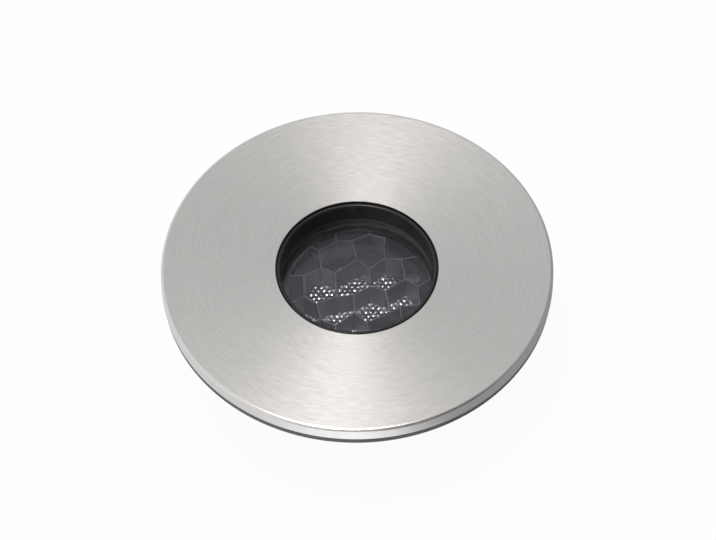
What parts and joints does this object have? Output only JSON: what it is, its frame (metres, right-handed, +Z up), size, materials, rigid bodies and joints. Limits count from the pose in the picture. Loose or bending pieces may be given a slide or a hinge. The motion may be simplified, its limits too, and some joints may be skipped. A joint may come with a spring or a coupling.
{
  "type": "in ground well light",
  "caption": "Recessed in-ground well light: wide turned stainless trim, deep glass window with a honeycomb louvre over a beaded lens, finned body held by spring clips.",
  "frame": {"origin": "on the light's axis, in the plane of the finished ground under the trim's gasket", "axes": "+Z up out of the ground, the way the light shines; +Y towards the cable gland"},
  "size_m": [0.12, 0.12, 0.0508],
  "materials": {
    "turned_stainless": "fine concentric turning lines",
    "stainless_hardware": "plain machined",
    "spring_steel": "rolled strip, satin",
    "gasket_foam": "closed cell foam, matt",
    "black_rubber": "moulded, matt",
    "black_casting": "fine black powder coat",
    "black_anodised": "black anodised, satin",
    "louvre_black": "matt black",
    "black_moulding": "fine matt moulding",
    "clear_glass": "polished, clear",
    "clear_optic": "polished, clear, beaded top",
    "led_phosphor": "silicone over phosphor",
    "black_board": "black solder mask on aluminium",
    "grey_silicone": "moulded silicone, satin",
    "thermal_silicone": "soft, matt",
    "white_moulding": "matt moulding",
    "red_insulation": "satin",
    "black_insulation": "satin",
    "nickel_plate": "nickel plated, satin"
  },
  "bodies": {
    "light_body": {"base_gasket": "black_rubber", "base_plate": "black_casting", "base_screws": "stainless_hardware", "bezel_screws": "stainless_hardware", "canister": "black_casting", "clip_feet": "spring_steel", "clip_screws": "stainless_hardware", "cooling_fins": "black_casting", "gland_body": "nickel_plate", "gland_seal": "black_rubber", "gland_washer": "black_rubber", "glass_bezel": "black_anodised", "glass_lower_gasket": "grey_silicone", "glass_pane": "clear_glass", "glass_upper_gasket": "grey_silicone", "honeycomb_core": "louvre_black", "housing": "black_casting", "lead_black": "black_insulation", "lead_red": "red_insulation", "led_board": "black_board", "led_packages": "led_phosphor", "lens_holder": "black_moulding", "lens_screws": "stainless_hardware", "louvre_ring": "louvre_black", "louvre_sleeve": "louvre_black", "quad_lens": "clear_optic", "stud_grommets": "black_rubber", "terminal_block": "white_moulding", "terminal_screws": "stainless_hardware", "thermal_pad": "thermal_silicone"},
    "trim": {"trim_cover": "turned_stainless", "trim_studs": "stainless_hardware", "flange_gasket": "gasket_foam"},
    "gland_nut": {"gland_nut": "nickel_plate"},
    "clip_1": {"clip_arm_1": "spring_steel"},
    "clip_2": {"clip_arm_2": "spring_steel"},
    "clip_3": {"clip_arm_3": "spring_steel"}
  },
  "joints": [
    {"name": "trim_lift", "type": "slide", "parent": "light_body", "child": "trim", "axis": [0, 0, 1], "range_m": [0, 0.025]},
    {"name": "clip_1_flex", "type": "hinge", "parent": "light_body", "child": "clip_1", "pos_m": [0.03308, 0.0191, -0.005], "axis": [-0.5, 0.866, 0], "range_deg": [0, 12], "stiffness_Nm_per_rad": 0.6},
    {"name": "clip_2_flex", "type": "hinge", "parent": "light_body", "child": "clip_2", "pos_m": [-0.03308, 0.0191, -0.005], "axis": [-0.5, -0.866, 0], "range_deg": [0, 12], "stiffness_Nm_per_rad": 0.6},
    {"name": "clip_3_flex", "type": "hinge", "parent": "light_body", "child": "clip_3", "pos_m": [0, -0.0382, -0.005], "axis": [1, 0, 0], "range_deg": [0, 12], "stiffness_Nm_per_rad": 0.6},
    {"name": "gland_nut_turn", "type": "hinge", "parent": "light_body", "child": "gland_nut", "pos_m": [0, 0.047, -0.019], "axis": [0, 1, 0], "continuous": true}
  ]
}
